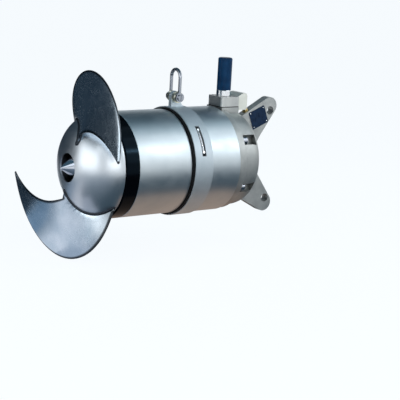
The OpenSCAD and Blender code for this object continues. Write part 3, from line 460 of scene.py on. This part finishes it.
# %% Dress the nodes
DRESS = [
    (shell_finish, ["motor_housing", "rear_housing"]),
    (hub_finish, ["propeller_hub"]),
    (blade_finish, ["blade_a", "blade_b"]),
    (ring_finish, ["lifting_ring"]),
    (cast_finish, ["rear_cover", "bracket", "bearing_carrier", "rear_bearing_carrier"]),
    (entry_finish, ["cable_entry"]),
    (cap_finish, ["entry_cap"]),
    (cone_finish, ["nose_cone"]),
    (bright_finish, ["locking_wire", "gland_sleeve", "front_ball_set", "rear_ball_set"]),
    (shackle_finish, ["shackle_bow", "shackle_nut", "shackle_pin", "rear_cover_bolts"]),
    (bolt_finish, ["front_cover_screws", "entry_screws"]),
    (machined_finish, ["shaft", "shaft_clip", "drive_key", "rotor_rings",
                       "front_bearing_inner", "front_bearing_outer",
                       "rear_bearing_inner", "rear_bearing_outer",
                       "outer_seal_ring", "inner_seal_ring", "outer_seal_seat", "inner_seal_seat"]),
    (black_finish, ["front_cover"]),
    (rubber_finish, ["joint_gasket", "front_o_ring", "rear_o_ring", "entry_gasket", "gland_seal"]),
    (cable_finish, ["cable"]),
    (brass_finish, ["earth_screw", "terminal_studs"]),
    (washer_finish, ["shackle_washer"]),
    (core_finish, ["rotor_core", "stator_core"]),
    (copper_finish, ["stator_winding", "cable_leads"]),
    (board_finish, ["terminal_board"]),
]


def dress(obj, material):
    """One material over the whole object."""
    obj.data.materials.clear()
    obj.data.materials.append(material)


for material, names in DRESS:
    for name in names:
        dress(nodes[name], material)
left_over = set(nodes) - {name for _, names in DRESS for name in names}
assert not left_over, left_over
print("dressed", len(nodes), "nodes in", len(DRESS), "finishes")

# %% [markdown]
# ## Mesh helper
# New pieces are made in a bmesh and handed to one helper, which turns it into an object at the origin, shades
# it smooth with sharp edges kept, gives it a finish and makes it ride on a body of the frame.

# %% Mesh helper
SHARP = math.radians(35)
DOUBLES = 1e-6


def finish_piece(name, bm, material, body, sharp=SHARP):
    """Turns a bmesh into a piece of the mixer."""
    bmesh.ops.remove_doubles(bm, verts=bm.verts, dist=DOUBLES)
    bmesh.ops.recalc_face_normals(bm, faces=bm.faces)
    for face in bm.faces:
        face.smooth = True
    for edge in bm.edges:
        edge.smooth = len(edge.link_faces) == 2 and edge.calc_face_angle() < sharp
    mesh = bpy.data.meshes.new(name)
    bm.to_mesh(mesh)
    bm.free()
    piece = bpy.data.objects.new(name, mesh)
    bpy.context.scene.collection.objects.link(piece)
    mesh.materials.append(material)
    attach(piece, body)
    print("made", name, "with", len(mesh.polygons), "faces")
    return piece


print("edges over", round(math.degrees(SHARP)), "degrees stay sharp")

# %% [markdown]
# ## Smooth skins for the hub and the rear cover
# The hub is a turned dome and the rear cover is a casting with soft edges. A CAD solid arrives as loose
# triangles with flat bands where a curve was drawn with points. The dome could be spun again from a profile,
# but a copy of the solid already has the right shape. Once its triangles are merged, normals can run across
# the bands.

# %% Skins of the hub and the cover
MERGE = 1e-5
BAND = math.radians(24)


def merged_copy(name):
    """A bmesh of a CAD node whose loose triangles are joined."""
    bm = bmesh.new()
    bm.from_mesh(nodes[name].data)
    bmesh.ops.remove_doubles(bm, verts=bm.verts, dist=MERGE)
    return bm


def skin(name, node, material, body):
    """Replaces a CAD node by a smooth copy of itself."""
    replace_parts(finish_piece(name, merged_copy(node), material, body, BAND), node)


skin("hub_skin", "propeller_hub", hub_finish, "propeller")
skin("cover_skin", "rear_cover", cast_finish, "housing")

# %% [markdown]
# ## Where a blade meets the hub
# Each blade is welded to the hub along a closed line, its foot. The line could be drawn again by hand, but
# the solids already hold it: a search tree of the hub finds the vertices of a blade that touch it, and the
# foot runs along the edges between the faces on the hub and the others.

# %% Feet of the blades
FOOT_REACH = 0.0004

hub_bm = merged_copy("propeller_hub")
hub_tree = BVHTree.FromBMesh(hub_bm)
hub_bm.free()


def gap_to_hub(vert):
    """How far a vertex lies from the hub, in metres."""
    return hub_tree.find_nearest(vert.co)[3]


def on_hub(bm):
    """The vertices of a blade that touch the hub."""
    return [v for v in bm.verts if gap_to_hub(v) < FOOT_REACH]


def foot_edges(bm):
    """The closed line where a blade's sides meet the hub."""
    near = set(on_hub(bm))
    caps = {f for f in bm.faces if all(v in near for v in f.verts)}
    return [e for e in bm.edges if len({f in caps for f in e.link_faces}) == 2]


def in_order(edges):
    """Places along a closed line of edges, one after the other."""
    step = {}
    for edge in edges:
        one, two = edge.verts
        step.setdefault(one, []).append(two)
        step.setdefault(two, []).append(one)
    here = edges[0].verts[0]
    line = []
    while here is not None:
        line.append(here)
        here = next((v for v in step[here] if v not in line), None)
    return [v.co.copy() for v in line]


print("the hub's search tree is ready")

# %% [markdown]
# ## Rounded blades
# A blade is a thin swept sheet of steel with a narrow rim. A Subdivision modifier rounds the coarse
# outline of its solid. Alone it would also shrink the rim and lift the foot off the hub, so the edges of both
# are creased: the foot fully, and the rim a little less. The lesser crease also marks the rim. Its narrow
# faces take a finish of their own, painted nearly black as shade, and an attribute tells the blade's finish
# where to paint shade next to the rim.

# %% Blade skins
FOOT_STEP = 0.0012
RIM_ANGLE = math.radians(40)
RIM_CREASE = 0.9
RIM_START = 0.006
JOIN_FACE_ANGLE = 0.6
JOIN_SHAPE_ANGLE = 1.2
ROUND_LEVELS = 2


def is_rim(crease):
    """A rim's crease lies between none and the full one of a foot."""
    return 0 < crease < 1


def blade_skin(name, node):
    """A rounded copy of a blade; returns the line of its foot."""
    bm = merged_copy(node)
    bmesh.ops.remove_doubles(bm, verts=on_hub(bm), dist=FOOT_STEP)
    crease = bm.edges.layers.float.new("crease_edge")
    foot = foot_edges(bm)
    line = in_order(foot)
    for edge in bm.edges:
        clear = min(gap_to_hub(v) for v in edge.verts) > RIM_START
        if clear and edge.calc_face_angle(0) > RIM_ANGLE:
            edge[crease] = RIM_CREASE
    for edge in foot:
        edge[crease] = 1.0
    rim = bm.verts.layers.float.new("rim")
    for vert in bm.verts:
        vert[rim] = any(is_rim(edge[crease]) for edge in vert.link_edges)
    bmesh.ops.join_triangles(bm, faces=bm.faces, angle_face_threshold=JOIN_FACE_ANGLE,
                             angle_shape_threshold=JOIN_SHAPE_ANGLE)
    for face in bm.faces:
        face.material_index = sum(is_rim(edge[crease]) for edge in face.edges) > 1
    piece = finish_piece(name, bm, blade_finish, "propeller", math.pi)
    piece.data.materials.append(rim_shade_finish)
    for edge, fold in zip(piece.data.edges, piece.data.attributes["crease_edge"].data):
        edge.use_edge_sharp = is_rim(fold.value)
    smooth = piece.modifiers.new("round", "SUBSURF")
    smooth.levels = ROUND_LEVELS
    smooth.render_levels = ROUND_LEVELS
    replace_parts(piece, node)
    return line


feet = [blade_skin("blade_a_skin", "blade_a"), blade_skin("blade_b_skin", "blade_b")]
print("blade feet of", [len(line) for line in feet], "points")

# %% [markdown]
# ## Weld beads
# The blades are welded to the hub. A weld is a small round bead that follows the foot of the blade. A circle
# could be carried along that line step by step, but a curve with a round bevel does the same in one go: its
# points are set at even steps along the foot, it is closed, and then it is made a mesh.

# %% Weld beads
BEAD_R = 0.0032
BEAD_ROUNDNESS = 3
BEAD_STEP = 0.003
EASE_ROUNDS = 3


def even_line(line, step):
    """The same closed line with points at even distances, its corners eased."""
    closed = line + line[:1]
    spans = [(b - a).length for a, b in zip(closed, closed[1:])]
    length = sum(spans)
    count = round(length / step)
    points = []
    index, passed = 0, 0.0
    for i in range(count):
        along = length * i / count
        while passed + spans[index] < along:
            passed += spans[index]
            index += 1
        points.append(closed[index].lerp(closed[index + 1], (along - passed) / spans[index]))
    for _ in range(EASE_ROUNDS):
        points = [(points[i - 1] + points[i] * 2 + points[(i + 1) % count]) / 4 for i in range(count)]
    return points


def bead_mesh(lines):
    """A bmesh of round beads along closed lines."""
    curve = bpy.data.curves.new("weld_line", "CURVE")
    curve.dimensions = "3D"
    curve.bevel_depth = BEAD_R
    curve.bevel_resolution = BEAD_ROUNDNESS
    for line in lines:
        points = even_line(line, BEAD_STEP)
        spline = curve.splines.new("POLY")
        spline.points.add(len(points) - 1)
        for point, place in zip(spline.points, points):
            point.co = (*place, 1)
        spline.use_cyclic_u = True
    holder = bpy.data.objects.new("weld_line", curve)
    mesh = bpy.data.meshes.new_from_object(holder)
    bm = bmesh.new()
    bm.from_mesh(mesh)
    bpy.data.objects.remove(holder)
    bpy.data.curves.remove(curve)
    bpy.data.meshes.remove(mesh)
    return bm


finish_piece("weld_beads", bead_mesh(feet), weld_finish, "propeller", math.pi)

# %% [markdown]
# ## The rating plate
# A rating plate is riveted to the near side of the bracket's upper arm, in line with the arm's edge. It
# stays bare: a dark blue enamelled field inside a narrow raised rim. The rim could be a bump in the finish,
# but then the plate would be flat from the side. So it starts as a cube, whose corners are bevelled and whose
# front is inset and pressed in.

# %% Rating plate
PLATE_CENTRE = (-0.029, 0.0769)
PLATE_SIZE = (0.0405, 0.0365)
PLATE_THICK = 0.0008
PLATE_TILT = math.radians(22)
PLATE_CORNER = 0.002
CORNER_STEPS = 4
ROUND_PROFILE = 0.5
PLATE_RIM = 0.0012
PLATE_PRESS = 0.00025
BRACKET_FACE = -0.009
FRONT_FACING = -0.9
ENAMEL_SHINE = 0.12


def enamel(name, dark, light):
    """Enamel that is slightly uneven."""
    material, tree, shader = new_finish(name)
    cloud = noise_of(tree, scale=120, detail=4)
    shader.inputs["Specular IOR Level"].default_value = ENAMEL_SHINE
    tree.links.new(shades(tree, cloud, dark, light), shader.inputs["Base Color"])
    tree.links.new(spread(tree, cloud, low=0.26, high=0.36), shader.inputs["Roughness"])
    roughen(tree, shader, noise_of(tree, scale=700, detail=3), strength=0.1, depth=0.00005)
    return material


def facing_front(bm):
    """The faces that look away from the bracket's arm."""
    return [f for f in bm.faces if f.normal.y < FRONT_FACING]


plate_finish = enamel("plate_enamel", (0.006, 0.018, 0.046), (0.011, 0.030, 0.072))
arm_place = Vector((PLATE_CENTRE[0], BRACKET_FACE, PLATE_CENTRE[1]))
arm_turn = Matrix.Rotation(-PLATE_TILT, 3, "Y")

bm = bmesh.new()
bmesh.ops.create_cube(bm, size=1)
bmesh.ops.scale(bm, vec=(PLATE_SIZE[0], PLATE_THICK, PLATE_SIZE[1]), verts=bm.verts)
corners = [e for e in bm.edges if abs(e.verts[0].co.y - e.verts[1].co.y) > PLATE_THICK / 2]
bmesh.ops.bevel(bm, geom=corners, offset=PLATE_CORNER, segments=CORNER_STEPS, profile=ROUND_PROFILE,
                affect="EDGES", material=-1)
bmesh.ops.inset_region(bm, faces=facing_front(bm), thickness=PLATE_RIM)
field = max(facing_front(bm), key=lambda f: f.calc_area())
bmesh.ops.inset_region(bm, faces=[field], thickness=PLATE_PRESS, depth=-PLATE_PRESS)
bmesh.ops.translate(bm, vec=(0, -PLATE_THICK / 2, 0), verts=bm.verts)
bmesh.ops.rotate(bm, matrix=arm_turn, verts=bm.verts)
bmesh.ops.translate(bm, vec=arm_place, verts=bm.verts)
finish_piece("rating_plate", bm, plate_finish, "housing")

# %% [markdown]
# ## Rivets
# Four small rivets hold the plate by its corners. A rivet's head could be spun from an arc, but a sphere that
# is flattened and sunk to its middle in the plate shows the same dome.

# %% Rivets
RIVET_R = 0.0014
RIVET_INSET = 0.0036
RIVET_FLATNESS = 0.6
RIVET_SIDES = 16
RIVET_RINGS = 10

bm = bmesh.new()
rivet_x, rivet_z = (size / 2 - RIVET_INSET for size in PLATE_SIZE)
for side_x in (-1, 1):
    for side_z in (-1, 1):
        head = arm_turn @ Vector((side_x * rivet_x, -PLATE_THICK, side_z * rivet_z)) + arm_place
        made = bmesh.ops.create_uvsphere(bm, u_segments=RIVET_SIDES, v_segments=RIVET_RINGS, radius=RIVET_R)
        bmesh.ops.scale(bm, vec=(1, RIVET_FLATNESS, 1), verts=made["verts"])
        bmesh.ops.translate(bm, vec=head, verts=made["verts"])
finish_piece("plate_rivets", bm, bright_finish, "housing")

# %% [markdown]
# ## Floor and background
# The floor is pale and lies just under the lower blade. Lamps could be turned up until it is white, but they
# would burn out the metal. So, seen by the camera or in a reflection, it is mostly a flat pale glow, which
# keeps the background even, and the rest is a dull paint that still takes the mixer's shadow.

# %% Floor
PALE = (0.94, 0.975, 1.0)
FLOOR_GAP = 0.004
FLOOR_SIZE = 80
FLOOR_ROUGHNESS = 0.9
GLOW = 0.88
GLOW_STRENGTH = 1.08


def floor_paint(name):
    """Pale paint that glows for the camera and for reflections."""
    material, tree, shader = new_finish(name)
    shader.inputs["Base Color"].default_value = (*PALE, 1)
    shader.inputs["Roughness"].default_value = FLOOR_ROUGHNESS
    glow = tree.nodes.new("ShaderNodeEmission")
    glow.inputs["Color"].default_value = (*PALE, 1)
    glow.inputs["Strength"].default_value = GLOW_STRENGTH
    path = tree.nodes.new("ShaderNodeLightPath")
    total = path.outputs["Is Camera Ray"]
    for ray in ("Is Glossy Ray", "Is Transmission Ray"):
        add = tree.nodes.new("ShaderNodeMath")
        add.use_clamp = True
        tree.links.new(total, add.inputs[0])
        tree.links.new(path.outputs[ray], add.inputs[1])
        total = add.outputs["Value"]
    share = tree.nodes.new("ShaderNodeMath")
    share.operation = "MULTIPLY"
    share.inputs[1].default_value = GLOW
    tree.links.new(total, share.inputs[0])
    mix = tree.nodes.new("ShaderNodeMixShader")
    tree.links.new(share.outputs["Value"], mix.inputs["Fac"])
    tree.links.new(shader.outputs["BSDF"], mix.inputs[1])
    tree.links.new(glow.outputs["Emission"], mix.inputs[2])
    tree.links.new(mix.outputs["Shader"], tree.nodes["Material Output"].inputs["Surface"])
    return material


def stage_sheet(name, material, matrix, width, depth):
    """A flat sheet that belongs to the studio."""
    bm = bmesh.new()
    bmesh.ops.create_grid(bm, x_segments=1, y_segments=1, size=0.5)
    bmesh.ops.scale(bm, vec=(width, depth, 1), verts=bm.verts)
    bmesh.ops.transform(bm, matrix=matrix, verts=bm.verts)
    mesh = bpy.data.meshes.new(name)
    bm.to_mesh(mesh)
    bm.free()
    sheet = bpy.data.objects.new(name, mesh)
    bpy.context.scene.collection.objects.link(sheet)
    dress(sheet, material)
    return sheet


floor_z = cad_low.z - FLOOR_GAP
stage_sheet("floor", floor_paint("floor_paint"), Matrix.Translation((0, 0, floor_z)), FLOOR_SIZE, FLOOR_SIZE)
print("floor at", round(floor_z, 4))

# %% [markdown]
# ## The world
# Satin metal shows its surroundings more than its own colour. A picture of a studio could serve as
# surroundings, but a ramp of two shades is enough here: pale at the horizon, as over a sweep of paper, and
# dark overhead.

# %% World
HORIZON_RISE = 0.08
OVERHEAD_RISE = 0.70
OVERHEAD = (0.06, 0.125, 0.17)


def sky(name):
    """Pale at the horizon, dark blue grey overhead."""
    world = bpy.data.worlds.new(name)
    world.use_nodes = True
    tree = world.node_tree
    place = tree.nodes.new("ShaderNodeTexCoord")
    split = tree.nodes.new("ShaderNodeSeparateXYZ")
    tree.links.new(place.outputs["Generated"], split.inputs["Vector"])
    colour = shades(tree, split.outputs["Z"], PALE, OVERHEAD, HORIZON_RISE, OVERHEAD_RISE)
    colour.node.color_ramp.interpolation = "EASE"
    tree.links.new(colour, tree.nodes["Background"].inputs["Color"])
    return world


bpy.context.scene.world = sky("studio")
print("world ready")

# %% [markdown]
# ## Soft lamps
# Seven soft area lamps stand round the mixer, as softboxes would. Their reflections are the light bands on
# the hub, the shells and the blades, so each stands where its band is wanted. An area lamp's energy is set in
# watts, which says little about how bright it looks in a mirror, so the helper takes a radiance instead.

# %% Softboxes
STUDIO_CENTRE = Vector((-0.25, 0, 0))
DAYLIGHT = (0.97, 0.99, 1.0)


def softbox(name, azimuth, elevation, distance, size, radiance, tint):
    """A soft area lamp that faces the mixer; radiance 1 shows as white in a mirror."""
    width, height = size
    lamp = bpy.data.lights.new(name, "AREA")
    lamp.shape = "RECTANGLE"
    lamp.size = width
    lamp.size_y = height
    lamp.energy = radiance * math.pi * width * height
    lamp.color = tint
    obj = bpy.data.objects.new(name, lamp)
    way = towards(math.radians(azimuth), math.radians(elevation))
    obj.location = STUDIO_CENTRE + way * distance
    obj.rotation_mode = "QUATERNION"
    obj.rotation_quaternion = (-way).to_track_quat("-Z", "Y")
    obj.visible_camera = False
    bpy.context.scene.collection.objects.link(obj)
    print(name, "of", width, "by", height, "m")


softbox("right_softbox", azimuth=46, elevation=33, distance=1.6, size=(1.15, 1.25), radiance=1.35,
        tint=(0.97, 0.985, 1.0))
softbox("upper_softbox", azimuth=70, elevation=56, distance=1.6, size=(0.8, 0.6), radiance=0.65,
        tint=(0.75, 0.92, 1.0))
softbox("key_lamp", azimuth=39, elevation=31, distance=5, size=(0.34, 0.34), radiance=34,
        tint=(0.88, 0.96, 1.0))
softbox("left_softbox", azimuth=-96, elevation=10, distance=1.5, size=(1.3, 0.85), radiance=1.1,
        tint=DAYLIGHT)
softbox("left_upper_softbox", azimuth=-60, elevation=35, distance=1.5, size=(0.9, 0.5), radiance=1.2,
        tint=(0.95, 0.98, 1.0))
softbox("back_softbox", azimuth=165, elevation=36, distance=1.6, size=(0.9, 0.4), radiance=0.8,
        tint=DAYLIGHT)
softbox("front_softbox", azimuth=-22, elevation=14, distance=1.5, size=(1.3, 0.6), radiance=1.3,
        tint=DAYLIGHT)

# %% [markdown]
# ## Reflection cards
# A product photographer also sets up cards that shape what shiny metal shows. Dark ones stand behind and to
# the left, or lie on the floor there, and take the shine off the shaded sides. Paler ones lie on the floor
# under the mixer and beside it. Painted cards would depend on the lamps, so these glow in one shade, or turn
# from one shade into another. They only show in reflections.

# %% Cards
NIGHT = (0.010, 0.024, 0.040)
TEAL = (0.014, 0.034, 0.052)
SLATE = (0.05, 0.085, 0.115)
HAZE = (0.25, 0.31, 0.38)
SNOW = (0.70, 0.73, 0.80)
MIST = (0.42, 0.47, 0.56)
DUSK = (0.20, 0.30, 0.42)
LEATHER = (0.44, 0.33, 0.27)
TABLE_LIFT = 0.001
CARD_LIFT = 0.002
DARK_LIFT = 0.003


def card_paint(name, shade, far_shade=None, fade=None):
    """A glowing shade; fade is an axis and the two places on it between which the far shade takes over."""
    material, tree, _ = new_finish(name)
    glow = tree.nodes.new("ShaderNodeEmission")
    glow.inputs["Color"].default_value = (*shade, 1)
    if fade:
        axis, near, far = fade
        share = ranged(tree, along_axis(tree, axis), near, far)
        tree.links.new(shades(tree, share, shade, far_shade, low=0, high=1), glow.inputs["Color"])
    tree.links.new(glow.outputs["Emission"], tree.nodes["Material Output"].inputs["Surface"])
    return material


def card(name, paint, matrix, width, depth):
    """A studio card that only shows in reflections."""
    sheet = stage_sheet(name, paint, matrix, width, depth)
    sheet.visible_camera = False
    sheet.visible_diffuse = False
    sheet.visible_shadow = False


def card_facing(azimuth, elevation, distance, size):
    """Place, width and depth of a card that faces the mixer."""
    way = towards(math.radians(azimuth), math.radians(elevation))
    turn = way.to_track_quat("Z", "Y").to_matrix().to_4x4()
    return Matrix.Translation(STUDIO_CENTRE + way * distance) @ turn, *size


def on_floor(x, y, lift=CARD_LIFT):
    """Place, width and depth of a card that covers a stretch of X and of Y on the floor."""
    middle = Vector((sum(x) / 2, sum(y) / 2, floor_z + lift))
    return Matrix.Translation(middle), x[1] - x[0], y[1] - y[0]


night = card_paint("night_card", NIGHT)
card("back_left_card", night, *card_facing(azimuth=-164, elevation=6, distance=1.1, size=(1.55, 1.2)))
card("left_low_card", night, *card_facing(azimuth=-123.3, elevation=3.5, distance=1.32, size=(0.36, 0.50)))
card("back_left_floor", night, *on_floor(x=(-0.85, -0.36), y=(0.31, 1.1), lift=DARK_LIFT))
card("back_card", card_paint("teal_card", TEAL),
     *card_facing(azimuth=133, elevation=42, distance=1.3, size=(1.0, 0.7)))
card("table_card", card_paint("slate_table", HAZE, SLATE, fade=("X", -0.85, -0.45)),
     *on_floor(x=(-1.4, 1.6), y=(-1.0, 0.3), lift=TABLE_LIFT))
card("snow_card", card_paint("snow", SNOW, HAZE, fade=("Y", 0.14, 0.20)),
     *on_floor(x=(-0.98, -0.34), y=(0.075, 0.20)))
card("mist_card", card_paint("mist", MIST), *on_floor(x=(-0.57, -0.34), y=(-0.02, 0.075)))
card("dusk_card", card_paint("dusk", DUSK), *on_floor(x=(-0.85, -0.45), y=(0.20, 0.31)))
card("leather_card", card_paint("leather", LEATHER), *on_floor(x=(-0.33, -0.02), y=(-0.16, 0.16)))
print("studio ready")
